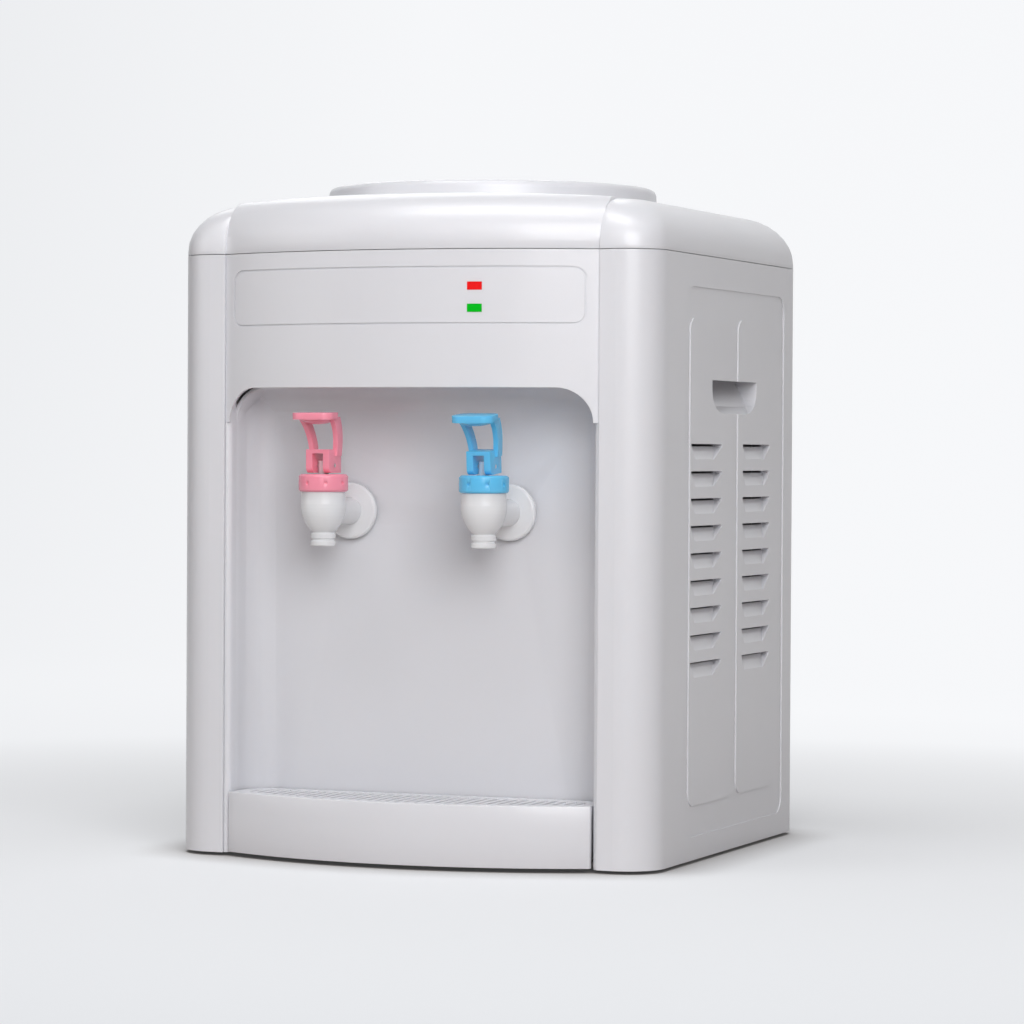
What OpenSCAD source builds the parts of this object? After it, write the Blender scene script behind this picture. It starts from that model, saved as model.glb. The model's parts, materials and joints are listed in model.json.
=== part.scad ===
// Countertop water dispenser with a hot and a cold tap.
// Millimetres, +Z up, front towards -Y. The origin is under the middle of the
// whole object, on the surface that it stands on.

/* [Casing] */
// Width over the side panels
body_w = 299; // [294:1:304]
// Depth from the fronts of the corner posts to the rear face
body_d = 270.5; // [266:0.5:276]
// Height of the seam between the side panels and the top cover
seam_z = 352.5; // [350:0.5:356]
// Height of the top cover's corners
cheek_z = 383; // [382:0.5:384]
// Height of the gently arched middle of the top cover
crown_z = 386; // [385:0.5:388]
// Wall thickness of the moulded panels
wall = 2.5; // [2:0.25:3]
// Radius of the two front corner posts
front_r = 23; // [20:1:24]
// Radius of the two rear corners
rear_r = 12.5; // [10:0.5:14]
// Radius of the rounding round the top cover
cover_r = 28; // [26:1:28]

/* [Front] */
// Half width of the front between the corner posts
front_hw = 117; // [116:0.5:118]
// How far the middle of the bowed front bulges past its two ends
bow_rise = 28; // [24:1:30]
// How far the ends of the bowed front sit behind the corner posts
bow_recess = 2; // [1.5:0.5:5]
// Depth of the tap bay's rear wall behind the corner posts
bay_depth = 35.3; // [33:0.1:37]
// Height of the top edge of the tap bay
bay_top = 274.4; // [270:0.2:276]
// Radius inside the tap bay
bay_r = 20; // [18:1:22]
// Height of the drip tray's top
tray_top = 37.8; // [36:0.2:39]

/* [Taps] */
// Distance between the two taps
tap_pitch = 100; // [96:1:104]
// Reach of the tap's upright axis ahead of the corner posts
tap_out = 6.4; // [5:0.2:8]
// Height of the tap's horizontal arm
tap_z = 202.8; // [200:0.2:206]
// Forward tilt at which the cold lever stands, from play in its pin
cold_tilt = 5; // [0:1:6]

/* [Bottle seat] */
// Outer radius of the bottle collar
collar_r = 99.5; // [98:0.5:101]
// Height of the bottle collar's rim
collar_z = 396; // [395:0.5:397]
// Distance of the collar's axis behind the corner posts
collar_back = 129.5; // [127:0.5:131]
// Radius of the bore that takes the neck of the bottle
neck_r = 29.5; // [29:0.25:30]

/* [Side panels] */
// Number of louvre rows
louvre_rows = 9; // [7:1:9]
// Distance between louvre rows
louvre_pitch = 15.8; // [15.5:0.1:16]
// Height of the top louvre's slot
louvre_top = 242.3; // [241:0.1:243]

/* [Hidden] */
$fn = 64;

half_w = body_w / 2;
// Reach of the levers ahead of the posts, and of the drain cap behind the rear face
lever_reach = 29.5;
rear_reach = 12;
front_y = -(body_d + rear_reach - lever_reach) / 2;
rear_y = front_y + body_d;
bow_r = (front_hw * front_hw + bow_rise * bow_rise) / (2 * bow_rise);
bow_y = front_y + bow_recess - bow_rise + bow_r;
casing_z = 2;
seam_gap = 0.2;
panel_top = seam_z - seam_gap;
cover_z = seam_z + seam_gap;
base_z = 5;
wall_y = front_y + bay_depth;
seat_y = front_y + collar_back;
post_x = front_hw;
flange_d = 10;
bay_hw = front_hw - 3.5;
tank_x = -30;
tank_y = front_y + 150;
white = [0.86, 0.86, 0.88];
pink = [0.95, 0.5, 0.58];
blue = [0.3, 0.7, 0.93];

// ---------- Drawing helpers ----------

// Points of an arc, in degrees
function arc(c, r, a0, a1, n) =
    [for (i = [0:n]) let (a = a0 + (a1 - a0) * i / n) [c[0] + r * cos(a), c[1] + r * sin(a)]];
function unit(v) = v / norm(v);
// A point on the Catmull-Rom curve through four points
function curve_point(a, b, c, d, t) =
    0.5 * (2 * b + (c - a) * t + (2 * a - 5 * b + 4 * c - d) * t * t
        + (3 * b - a - 3 * c + d) * t * t * t);
function smooth_path(p, n) = [
    for (i = [0:len(p) - 2], k = [0:n - 1])
        curve_point(p[max(i - 1, 0)], p[i], p[i + 1], p[min(i + 2, len(p) - 1)], k / n),
    p[len(p) - 1]
];

// Rectangle from one corner to the other with round corners
module round_rect(x0, y0, x1, y1, r) {
    translate([x0 + r, y0]) square([x1 - x0 - 2 * r, y1 - y0]);
    translate([x0, y0 + r]) square([x1 - x0, y1 - y0 - 2 * r]);
    for (x = [x0 + r, x1 - r], y = [y0 + r, y1 - r]) translate([x, y]) circle(r);
}

// Draws in the YZ plane and gives it a thickness along +X from x0
module along_x(x0, length) {
    translate([x0, 0, 0]) rotate([90, 0, 90]) linear_extrude(length) children();
}

// Draws in the XZ plane and gives it a thickness along +Y from y0
module along_y(y0, length) {
    translate([0, y0 + length, 0]) rotate([90, 0, 0]) linear_extrude(length) children();
}

// Outline of the body from above, drawn in by inset
module plan(inset) {
    rf = front_r - inset;
    rr = rear_r - inset;
    hw = half_w - inset;
    y0 = front_y + inset;
    y1 = rear_y - inset;
    translate([-hw, y0 + rf]) square([2 * hw, y1 - y0 - rf - rr]);
    translate([rf - hw, y0]) square([2 * (hw - rf), y1 - y0 - 2 * rr]);
    translate([rr - hw, y0 + 2 * rf]) square([2 * (hw - rr), y1 - y0 - 2 * rf]);
    for (s = [-1, 1]) {
        translate([s * (hw - rf), y0 + rf]) circle(rf);
        translate([s * (hw - rr), y1 - rr]) circle(rr);
    }
}

// Solid of revolution whose front is the bowed front, drawn in by inset
module bow_solid(inset, z0, z1) {
    translate([0, bow_y, z0]) cylinder(r = bow_r - inset, h = z1 - z0, $fn = 360);
}

// Round tube that follows a path; the bore is left out when it is zero
module tube(path, r, bore, ref, sides = 8) {
    n = len(path);
    rings = bore > 0 ? [r, bore] : [r];
    points = [
        for (q = rings, i = [0:n - 1])
            let (t = unit(path[min(i + 1, n - 1)] - path[max(i - 1, 0)]),
                 u = unit(cross(t, ref)), v = cross(t, u))
            for (k = [0:sides - 1])
                path[i] + q * (cos(360 * k / sides) * u + sin(360 * k / sides) * v)
    ];
    inner = n * sides;
    last = (n - 1) * sides;
    outside = [for (i = [0:n - 2], k = [0:sides - 1]) let (a = i * sides, b = a + sides, m = (k + 1) % sides)
        each [[a + k, a + m, b + m], [a + k, b + m, b + k]]];
    inside = [for (f = outside) [for (j = [2:-1:0]) inner + f[j]]];
    ends_open = [for (k = [0:sides - 1]) let (m = (k + 1) % sides) each [
        [k, inner + k, inner + m, m],
        [last + m, inner + last + m, inner + last + k, last + k]]];
    ends_shut = [[for (k = [sides - 1:-1:0]) k], [for (k = [0:sides - 1]) last + k]];
    polyhedron(points, bore > 0 ? concat(outside, inside, ends_open) : concat(outside, ends_shut));
}

// ---------- Top cover and bottle seat ----------

// Solid that joins rings of equally many points, from the lowest up
module loft(rings) {
    m = len(rings[0]);
    n = len(rings);
    polyhedron([for (ring = rings) each ring], concat([[for (k = [0:m - 1]) k]],
        [for (i = [0:n - 2], k = [0:m - 1]) let (q = (k + 1) % m)
            [(i + 1) * m + k, (i + 1) * m + q, i * m + q, i * m + k]],
        [[for (k = [m - 1:-1:0]) (n - 1) * m + k]]));
}

// Ring round the cover at height z, drawn in by d
function cover_ring(d, z) = [
    for (c = [[1, 1, rear_r, 0], [-1, 1, rear_r, 90], [-1, -1, front_r, 180], [1, -1, front_r, 270]])
        let (x = c[0] * (half_w - d - c[2]), y = c[1] > 0 ? rear_y - d - c[2] : front_y + d + c[2])
            for (p = arc([x, y], c[2], c[3], c[3] + 90, 8)) [p[0], p[1], z]
];

// Rounded block of the top cover, drawn in by inset
module cover_block(inset) {
    steps = 8;
    r = cover_r - inset;
    top = cheek_z - inset;
    loft(concat([cover_ring(inset, cover_z - inset)],
        [for (i = [0:steps]) let (a = 90 * i / steps)
            cover_ring(inset + r * (1 - cos(a)), top - r + r * sin(a))]));
}

// How far the arched middle of the cover falls towards the cheeks
arch_drop = crown_z - cheek_z - 0.3;

// Everything under the arched top of the middle strip, drawn in by inset
module under_arch(inset) {
    r = (front_hw * front_hw + arch_drop * arch_drop) / (2 * arch_drop) - inset;
    hw = front_hw - inset;
    half = asin(hw / r);
    along_y(front_y - bow_rise, body_d + bow_rise - inset) polygon(concat(
        [[-hw, cover_z - inset], [hw, cover_z - inset]],
        arc([0, crown_z - inset - r], r, 90 - half, 90 + half, 18)));
}

// Raised middle strip of the top cover with the bowed front, drawn in by inset
module crown(inset) {
    r = cover_r - inset;
    top = crown_z - inset;
    low = cover_z - inset;
    intersection() {
        translate([0, bow_y, 0]) rotate_extrude($fn = 360) {
            translate([0, low]) square([bow_r - inset, top - r - low]);
            translate([0, low]) square([bow_r - inset - r, top - low]);
            translate([bow_r - inset - r, top - r]) circle(r);
        }
        under_arch(inset);
        along_x(-half_w, body_w) {
            translate([front_y - bow_rise, low]) square([body_d + bow_rise - inset, top - r - low]);
            translate([front_y - bow_rise, low])
                square([body_d + bow_rise - inset - r, top - low]);
            translate([rear_y - inset - r, top - r]) circle(r);
        }
    }
}

// Space between the cheeks where the bowed middle stands
module front_notch(margin) {
    translate([-front_hw - margin, front_y - 1, 0])
        cube([2 * (front_hw + margin), 46 + margin, 500]);
}

module top_cover() color(white) {
    lip_low = seam_z - 6;
    difference() {
        union() {
            difference() {
                cover_block(0);
                front_notch(0);
            }
            crown(0);
        }
        difference() {
            cover_block(wall);
            front_notch(wall);
        }
        crown(wall);
        translate([0, seat_y, cheek_z - 10]) cylinder(r = throat_r + 3, h = 40);
    }
    // Locating lip that stands inside the side and rear panels
    difference() {
        translate([0, 0, lip_low]) linear_extrude(12) difference() {
            plan(wall - 0.4);
            plan(wall + 2);
        }
        translate([0, 0, lip_low - 1]) linear_extrude(seam_z + seam_gap - lip_low + 1) difference() {
            plan(0);
            plan(wall + 0.3);
        }
        translate([-post_x - 6, front_y - 1, lip_low - 1]) cube([2 * post_x + 12, 50, 20]);
        translate([-post_x - 1, rear_y - 12, lip_low - 1]) cube([2 * post_x + 2, 20, 7.4]);
    }
}

// Radius and height where the collar's inner cone turns into its short tube
throat_r = 84;
throat_z = 388.5;

// Ring that stands on the arched cover, with a short tube down through the cover's opening
module bottle_collar() color(white) {
    join_z = crown_z + 1;
    difference() {
        translate([0, seat_y, 0]) rotate_extrude($fn = 180) polygon(concat(
            [[throat_r, join_z], [throat_r + 2, join_z], [throat_r + 2, cheek_z],
                [collar_r, cheek_z], [collar_r - 0.6, collar_z - 4]],
            arc([collar_r - 4.6, collar_z - 4], 4, 0, 90, 6),
            [[collar_r - 7.5, collar_z - 0.6], [throat_r, throat_z]]));
        under_arch(0);
    }
    translate([0, seat_y, 0]) rotate_extrude($fn = 180)
        translate([throat_r, crown_z - 4]) square([2.5, join_z - crown_z + 4.5]);
}

// Dish that takes the shoulder and the neck of the bottle, lifts out for cleaning
module bottle_seat() color(white) translate([0, seat_y, 0]) difference() {
    floor_z = 322;
    rotate_extrude($fn = 120) polygon([
        [0, floor_z], [neck_r + 2.5, floor_z], [neck_r + 2.5, 357.5], [60, 366.5], [82, 382],
        [throat_r - 0.4, 384.5], [throat_r - 0.4, throat_z + 0.4], [collar_r - 8.2, collar_z - 0.8],
        [collar_r - 9.4, collar_z], [collar_r - 11, collar_z - 0.4], [82, 387.8], [80.8, 384.6],
        [59.5, 369.2], [neck_r, 359.4], [neck_r, floor_z + 3], [0, floor_z + 3]]);
    for (a = [0:60:300]) rotate(a) translate([21, 0, floor_z - 1]) cylinder(r = 5.5, h = 5);
}

// Hollow spike that opens the bottle cap and lets water down and air up
module probe() color("white") translate([0, seat_y, 325]) difference() {
    rotate_extrude($fn = 48) polygon([[0, 0], [13, 0], [13, 2], [9, 4], [8.5, 24], [1.5, 36], [0, 36]]);
    translate([0, 0, -1]) cylinder(r = 5.5, h = 22);
    for (a = [0:90:90]) rotate(a) translate([-10, -2, 12]) cube([20, 4, 10]);
}

// Outlets for the cold tap, the tank's feed and the tank's vent
reservoir_outlets = [[50, -25], [50, 25], [tank_x, tank_y + 15 - seat_y]];
rim_z = 380.2;

// Bowl under the bottle seat; its outlets feed the cold tap and the hot tank
module reservoir() color("white") translate([0, seat_y, 0]) difference() {
    union() {
        rotate_extrude($fn = 120) polygon([
            [0, 278], [60, 278], [72, 282], [80, 293], [88, rim_z - 3], [94, rim_z - 3], [94, rim_z],
            [86, rim_z], [77.5, 294], [70.5, 284.4], [60, 280.5], [0, 280.5]]);
        for (p = reservoir_outlets) translate([p[0], p[1], 266]) cylinder(r = 4, h = 13, $fn = 32);
    }
    for (p = reservoir_outlets) translate([p[0], p[1], 265]) cylinder(r = 2.5, h = 20, $fn = 32);
}

// Gasket between the bowl's rim and the arched underside of the cover
module reservoir_gasket() color("dimgray") intersection() {
    translate([0, seat_y, rim_z]) difference() {
        cylinder(r = 93, h = 6, $fn = 96);
        translate([0, 0, -1]) cylinder(r = 88, h = 8, $fn = 96);
    }
    under_arch(wall);
}

// ---------- Side panels ----------

// Screw lugs of the side panels on the base
lug_x = 132;
screw_lugs_y = [front_y + 40, rear_y - 40];
rear_screws_at = [for (s = [-1, 1], z = [14, 177, 340]) [s * 106, z]];

// Finger grip: mouth from grip_z to grip_top, its depth and its ends
grip_z = 261;
grip_top = 280.5;
grip_in = 16;
grip_y0 = front_y + 103.5;
grip_y1 = front_y + 187;
// Width and height of the mouth's rounded lower corners
grip_corner = [20.5, 13];

// Outline of the finger grip from the side, grown by grow
module grip_outline(grow) {
    y0 = grip_y0 - grow;
    y1 = grip_y1 + grow;
    w = grip_corner[0];
    h = grip_corner[1];
    polygon(concat([[y1, 294 + grow], [y0, 294 + grow]],
        [for (p = arc([0, 0], 1, 180, 270, 5)) [y0 + w * (1 + p[0]), grip_z - grow + h * (1 + p[1])]],
        [for (p = arc([0, 0], 1, 270, 360, 5)) [y1 - w * (1 - p[0]), grip_z - grow + h * (1 + p[1])]]));
}

// Section of the finger grip from the front, grown by grow: the floor is a steep scoop
module grip_section(grow) {
    polygon([[half_w + 1, grip_z - 1.5 - grow], [half_w - 1, grip_z - grow],
        [half_w - 5.5 - grow, grip_z + 4.5 - grow / 2], [half_w + 1 - grip_in - grow, grip_top + 1],
        [half_w - grip_in - grow, 293 + grow], [half_w - wall, 293 + grow],
        [half_w - wall, grip_top], [half_w + 1, grip_top]]);
}

// The finger grip's room up to x_end, grown by grow
module grip_room(grow, x_end) {
    intersection() {
        along_y(front_y + 90, 110) grip_section(grow);
        along_x(half_w - grip_in - 4, x_end - half_w + grip_in + 4) grip_outline(grow);
    }
}

// Cup behind the mouth, seated against the panel's inner face with a narrow flange
module grip_cup() {
    inner_x = half_w - wall;
    difference() {
        union() {
            grip_room(2.2, inner_x);
            along_x(inner_x - 1.6, 1.6) grip_outline(5);
        }
        grip_room(0, inner_x + 1);
    }
}

module right_grip_cup() color(white) grip_cup();
module left_grip_cup() color(white) mirror([1, 0, 0]) grip_cup();

// Per column of louvres: ends of the slots, then ends of the scoops' lower edges,
// as distances behind the corner posts
louvre_columns = [[66, 122, 73.4, 107], [161.5, 214, 166.5, 203]];
louvre_drop = 8.2;
slot_h = 1.4;
band_low = louvre_top - (louvre_rows - 1) * louvre_pitch - louvre_drop - 2;
// Sunken field and the two raised panels in it: y and z from, y and z to
side_field = [59.5, 15.5, 242, 334];
raised_panels = [[64, 33.5, 138, 316], [152, 34, 222, 317]];

// Outlines of the louvres of one column: wide at the slot and narrower below
module louvre_outlines(column) {
    for (i = [0:louvre_rows - 1]) translate([front_y, louvre_top - i * louvre_pitch])
        polygon([[column[0], slot_h / 2], [column[1], slot_h / 2], [column[1], -slot_h / 2],
            [column[3], -louvre_drop], [column[2], -louvre_drop], [column[0], -slot_h / 2]]);
}

module side_panel() {
    pad = 3.5;
    sink = 0.8;
    scoop = 4.5;
    difference() {
        union() {
            translate([0, 0, casing_z]) linear_extrude(panel_top - casing_z) difference() {
                intersection() {
                    plan(0);
                    translate([post_x, front_y - 1]) square([half_w, body_d + 2]);
                }
                plan(wall);
            }
            // Inner flange of the corner post
            translate([post_x, front_y + 1, casing_z]) cube([2.2, flange_d - 1, panel_top - casing_z]);
            // Thicker bands that carry the louvres
            for (c = louvre_columns) translate([half_w - wall - pad, front_y + c[0] - 3, band_low])
                cube([pad + 1, c[1] - c[0] + 6, louvre_top - band_low + 5]);
            // Flange behind the rear panel
            translate([98, rear_y - 2 * wall, base_z + 1])
                cube([post_x + 4 - 98, wall, panel_top - base_z - 10]);
            // Screw lugs at the foot
            for (y = screw_lugs_y) translate([half_w - wall - 20, y - 7, base_z]) cube([20.5, 14, 3]);
        }
        // Mouth of the finger grip
        grip_room(0, half_w + 2);
        // Sunken field round two raised panels
        along_x(half_w - sink, 2) translate([front_y, 0]) difference() {
            round_rect(side_field[0], side_field[1], side_field[2], side_field[3], 10);
            for (p = raised_panels) round_rect(p[0], p[1], p[2], p[3], 8);
        }
        // Louvres: a scoop that ends in a slot through the wall
        for (c = louvre_columns) {
            intersection() {
                along_x(half_w - 6, 8) louvre_outlines(c);
                along_y(front_y + c[0] - 1, c[1] - c[0] + 2)
                    for (i = [0:louvre_rows - 1]) translate([half_w, louvre_top - i * louvre_pitch])
                        polygon([[1, -louvre_drop], [-0.6, -louvre_drop], [-scoop, -slot_h / 2],
                            [-scoop, slot_h / 2], [1, slot_h / 2]]);
            }
            for (i = [0:louvre_rows - 1])
                translate([half_w - 8, front_y + c[0] + 2, louvre_top - i * louvre_pitch - slot_h / 2])
                    cube([6, c[1] - c[0] - 4, slot_h]);
        }
        for (y = screw_lugs_y) translate([lug_x, y, 0]) cylinder(r = 1.7, h = 12, $fn = 24);
        for (p = rear_screws_at) translate([abs(p[0]), rear_y - 10, p[1]]) rotate([-90, 0, 0])
            cylinder(r = 1.75, h = 20, $fn = 24);
    }
}

module right_side_panel() color(white) side_panel();
module left_side_panel() color(white) mirror([1, 0, 0]) side_panel();

// ---------- Front ----------

bay_front = front_y - 40;

// The bay's outline from above, drawn out by grow
module bay_plan(grow) {
    hw = bay_hw + grow;
    r = bay_r + grow;
    y1 = wall_y + grow;
    translate([-hw, bay_front]) square([2 * hw, y1 - bay_front - r]);
    translate([r - hw, bay_front]) square([2 * (hw - r), y1 - bay_front]);
    for (s = [-1, 1]) translate([s * (hw - r), y1 - r]) circle(r);
}

// The bay's hollow, drawn out by grow: flat rear wall, round corners and ceiling
module bay_space(grow) {
    hw = bay_hw + grow;
    y0 = bay_front;
    y1 = wall_y + grow;
    r = bay_r + grow;
    low = base_z;
    intersection() {
        translate([0, 0, low]) linear_extrude(bay_top + grow - low) bay_plan(grow);
        along_y(y0, y1 - y0) {
            translate([-hw, low]) square([2 * hw, bay_top + grow - r - low]);
            translate([r - hw, low]) square([2 * (hw - r), bay_top + grow - low]);
            for (s = [-1, 1]) translate([s * (hw - r), bay_top + grow - r]) circle(r);
        }
        along_x(-hw, 2 * hw) {
            translate([y0, low]) square([y1 - y0, bay_top + grow - r - low]);
            translate([y0, low]) square([y1 - y0 - r, bay_top + grow - low]);
            translate([y1 - r, bay_top + grow - r]) circle(r);
        }
    }
}

module bay_liner() color(white) {
    difference() {
        intersection() {
            bay_space(2);
            union() {
                translate([-half_w, front_y + flange_d, 0]) cube([body_w, body_d, panel_top]);
                bow_solid(wall, bay_top - 0.01, panel_top);
            }
            translate([-front_hw + 0.2, front_y - 60, 0]) cube([2 * front_hw - 0.4, body_d, panel_top]);
        }
        bay_space(0);
        for (s = [-1, 1]) translate([s * tap_pitch / 2, wall_y - 1, tap_z]) rotate([-90, 0, 0])
            cylinder(r = 8.2, h = 10, $fn = 48);
    }
}

// Half width, foot and top of the engraved frame, and its line's width and depth
frame_hw = 110;
frame_z = [309.7, 342.8];
frame_line = 1.2;
frame_groove = 0.7;

// Strips of the front panel beside the bay and the tray, with a rounded inner edge
module front_strips() {
    edge = 3;
    edge_y = bow_y - sqrt(bow_r * bow_r - (bay_hw + edge) * (bay_hw + edge));
    back_y = front_y + flange_d;
    intersection() {
        bow_solid(0, casing_z, bay_top);
        for (s = [0, 1]) mirror([s, 0, 0]) translate([0, 0, casing_z]) linear_extrude(bay_top - casing_z)
            polygon(concat([[front_hw - 0.2, back_y], [bay_hw, back_y]],
                arc([bay_hw + edge, edge_y + edge], edge, 180, 270, 5), [[front_hw - 0.2, edge_y - 1]]));
    }
}

// Front panel: the upper part with the indicators and a strip down each side
module front_fascia() color(white) {
    low = bay_top - bay_r;
    difference() {
        union() {
            difference() {
                intersection() {
                    bow_solid(0, low, panel_top);
                    translate([0.2 - front_hw, front_y - 60, low]) cube([2 * front_hw - 0.4, 90, panel_top]);
                }
                bow_solid(wall, low - 1, panel_top + 1);
            }
            front_strips();
        }
        bay_space(0);
        // Engraved line round the indicator field
        difference() {
            intersection() {
                along_y(front_y - 60, 90) difference() {
                    round_rect(-frame_hw, frame_z[0], frame_hw, frame_z[1], 7);
                    round_rect(frame_line - frame_hw, frame_z[0] + frame_line,
                        frame_hw - frame_line, frame_z[1] - frame_line, 7 - frame_line);
                }
                bow_solid(-1, low, panel_top);
            }
            bow_solid(frame_groove, low, panel_top);
        }
        for (z = lens_z) lens_block(z, 0.1, 12);
    }
    // Strip along the lower edge that the ceiling of the bay stands on
    difference() {
        intersection() {
            bow_solid(wall - 0.2, bay_top + 2.1, bay_top + 5);
            translate([5 - front_hw, front_y - 60, 0]) cube([2 * front_hw - 10, 60 + flange_d, panel_top]);
        }
        bow_solid(wall + 4, bay_top, bay_top + 6);
    }
}

lens_x = 49.5;
lens_z = [331.6, 319.1];
lens_hw = 4.1;
// Front of the bowed panel at the indicators
lens_y = bow_y - sqrt(bow_r * bow_r - lens_x * lens_x);

module lens_block(z, grow, depth) {
    translate([lens_x - lens_hw - grow, lens_y - 2 - grow, z - 2.25 - grow])
        cube([2 * (lens_hw + grow), depth, 4.5 + 2 * grow]);
}

module lens(z) {
    intersection() {
        union() {
            lens_block(z, 0, 8.5);
            translate([lens_x - 6, lens_y + 3.9, z - 3.6]) cube([12, 2, 7.2]);
        }
        bow_solid(-0.25, z - 10, z + 10);
    }
}
module red_lens() color("red") lens(lens_z[0]);
module green_lens() color("green") lens(lens_z[1]);

// Circuit board with the two lamps, on two posts
module led_board() color("darkgreen") {
    translate([lens_x - 15, lens_y + 10, 308]) cube([32, 1.6, 36]);
    for (z = lens_z) translate([lens_x, lens_y + 6.5, z]) rotate([-90, 0, 0])
        cylinder(r = 2.2, h = 3.6, $fn = 24);
}

// ---------- Base, rear and feet ----------

feet_at = [[-118, front_y + 34], [118, front_y + 34], [-118, rear_y - 30], [118, rear_y - 30]];
base_screws_at = [for (s = [-1, 1], y = screw_lugs_y) [s * lug_x, y]];

module base() color(white) difference() {
    union() {
        // Floor plate behind the drip tray's front
        translate([0, 0, casing_z]) linear_extrude(base_z - casing_z) difference() {
            plan(wall);
            translate([-front_hw - 2.3, front_y - 1]) square([2 * front_hw + 4.6, flange_d + 5]);
        }
        // Rails that the drip tray slides on
        for (x = [-96, -4, 88]) translate([x, front_y + flange_d + 5, base_z]) cube([8, 14, 2]);
        // Stiffening ribs
        for (x = [-100, 100]) translate([x - 1, wall_y + 4, base_z]) cube([2, rear_y - wall_y - 14, 8]);
        for (y = [wall_y + 14, rear_y - 24]) translate([-100, y - 1, base_z]) cube([200, 2, 8]);
    }
    for (p = feet_at) translate([p[0], p[1], 0]) cylinder(r = 3, h = 8, $fn = 32);
    for (p = base_screws_at) translate([p[0], p[1], 0]) {
        cylinder(r = 1.8, h = 8, $fn = 32);
        cylinder(r = 3.6, h = base_z - 1.6, $fn = 32);
    }
}

module feet() color("dimgray") for (p = feet_at) translate([p[0], p[1], 0]) {
    rotate_extrude($fn = 48) polygon([[0, 0], [8.2, 0], [9, 0.8], [9, casing_z], [0, casing_z]]);
    cylinder(r = 2.9, h = base_z + 0.8, $fn = 32);
    translate([0, 0, base_z]) cylinder(r1 = 3.8, r2 = 2.6, h = 2, $fn = 32);
}

drain_at = [-70, 34];
gland_at = [84, 30];
switch_at = [84, 62];

// Rear panel with the grille, the heating switch, the cord entry and the drain
module rear_panel() color(white) difference() {
    union() {
        translate([-post_x + 0.2, rear_y - wall, base_z]) cube([2 * post_x - 0.4, wall, panel_top - base_z]);
        // Raised frame round the grille
        along_y(rear_y - wall, wall + 0.8) difference() {
            round_rect(-92, 116, 92, 306, 10);
            round_rect(-89, 119, 89, 303, 7);
        }
    }
    // Grille slots
    for (row = [0:13], s = [-1, 1])
        translate([s * 42 - 36, rear_y - 10, 128 + row * 12.5]) cube([72, 20, 4]);
    for (hole = [[drain_at, 7.1], [gland_at, 6.1]])
        translate([hole[0][0], rear_y - 10, hole[0][1]]) rotate([-90, 0, 0])
            cylinder(r = hole[1], h = 20, $fn = 48);
    translate([switch_at[0] - 6.6, rear_y - 10, switch_at[1] - 9.6]) cube([13.2, 20, 19.2]);
    for (p = rear_screws_at) translate([p[0], rear_y - 20, p[1]]) rotate([-90, 0, 0])
        cylinder(r = 1.9, h = 30, $fn = 24);
}

// Pan-head screw that points along -Z
module screw(shank) {
    difference() {
        rotate_extrude($fn = 32) polygon(concat([[0, 0], [3.6, 0], [3.6, 0.8]],
            arc([1.6, 0.8], 2, 0, 90, 4), [[0, 2.8]]));
        for (a = [0, 90]) rotate(a) translate([-2.2, -0.4, 1.4]) cube([4.4, 0.8, 3]);
    }
    translate([0, 0, -shank]) cylinder(r = 1.7, h = shank, $fn = 24);
}
module rear_screws() color("silver") for (p = rear_screws_at)
    translate([p[0], rear_y, p[1]]) rotate([-90, 0, 0]) screw(9);
module base_screws() color("silver") for (p = base_screws_at)
    translate([p[0], p[1], base_z - 1.6]) difference() {
        union() {
            translate([0, 0, -1.2]) cylinder(r = 3.4, h = 1.2, $fn = 24);
            cylinder(r = 1.65, h = 7, $fn = 24);
        }
        for (a = [0, 90]) rotate(a) translate([-2.2, -0.4, -2]) cube([4.4, 0.8, 1.4]);
    }

// ---------- Drip tray ----------

tray_hw = bay_hw - 0.6;
pan_z = base_z + 2.4;

// Outline of the tray's pan from above, drawn in by inset
module pan_plan(inset) {
    intersection() {
        bay_plan(-1.5 - inset);
        translate([0, bow_y]) circle(bow_r - wall - inset, $fn = 360);
    }
}

// Curved front with the drip pan behind it; pulls out to the front
module drip_tray() color(white) difference() {
    union() {
        intersection() {
            difference() {
                bow_solid(0, casing_z + 0.6, tray_top);
                bow_solid(wall, casing_z, tray_top + 1);
            }
            translate([-tray_hw, front_y - 60, 0]) cube([2 * tray_hw, 60 + flange_d - 1, tray_top]);
        }
        // Pan with a ledge that meets the front
        translate([0, 0, pan_z]) linear_extrude(tray_top - pan_z) intersection() {
            bay_plan(-1.5);
            translate([0, bow_y]) circle(bow_r - wall / 2, $fn = 360);
        }
    }
    translate([0, 0, pan_z + 2]) linear_extrude(tray_top) pan_plan(grid_in + 2.8);
    translate([0, 0, tray_top - grid_h - 0.2]) linear_extrude(5) pan_plan(grid_in - 0.4);
}

grid_h = 2.4;
slot_pitch = 6;
// How far the grid's edge is drawn in from the tray's rim
grid_in = 3.8;

// Slotted plate that lies in the tray
module drip_grid() color(white) translate([0, 0, tray_top - grid_h - 0.1])
    linear_extrude(grid_h) difference() {
        pan_plan(grid_in);
        intersection() {
            pan_plan(grid_in + 4);
            for (i = [-17:17]) translate([i * slot_pitch - 1.4, bay_front]) square([2.8, 100]);
        }
    }

// ---------- Taps ----------

nut_r = 14.3;
nut_low = 214.3;
nut_top = 224.4;
pin_z = 229.5;
// Underside of the lever at rest, with play above the nut
lever_low = nut_top + 0.8;

// Puts a tap part on the hot or the cold tap's upright axis
module at_tap(s) { translate([s * tap_pitch / 2, front_y - tap_out, 0]) children(); }

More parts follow.
